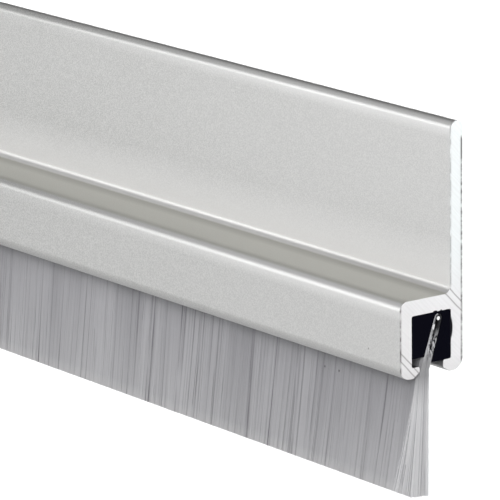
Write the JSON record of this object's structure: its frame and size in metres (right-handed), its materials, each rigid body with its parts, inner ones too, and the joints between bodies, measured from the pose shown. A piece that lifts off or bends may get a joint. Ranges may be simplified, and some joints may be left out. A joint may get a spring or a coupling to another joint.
{
  "type": "door brush seal",
  "caption": "Straight door seal: an extruded aluminium holder with a flat fixing flange and a slotted channel that grips a strip of folded bristles.",
  "frame": {"origin": "middle of the flat back face, which lies on the door", "axes": "+X along the strip, +Y out of the back face into the door, +Z from the bristle tips towards the flange's free edge"},
  "size_m": [0.1, 0.008, 0.0379],
  "materials": {
    "anodised_aluminium": "clear satin anodised with a faint lengthwise grain; bare sawn metal at the two cut ends",
    "black_plastic": "matt black",
    "steel_wire": "bright drawn wire",
    "grey_filament": "fine grey polymer filaments, slightly glossy along each one"
  },
  "bodies": {
    "root": {"aluminium_holder": "anodised_aluminium", "brush_backing": "black_plastic", "core_wire": "steel_wire", "bristles": "grey_filament"}
  },
  "joints": []
}
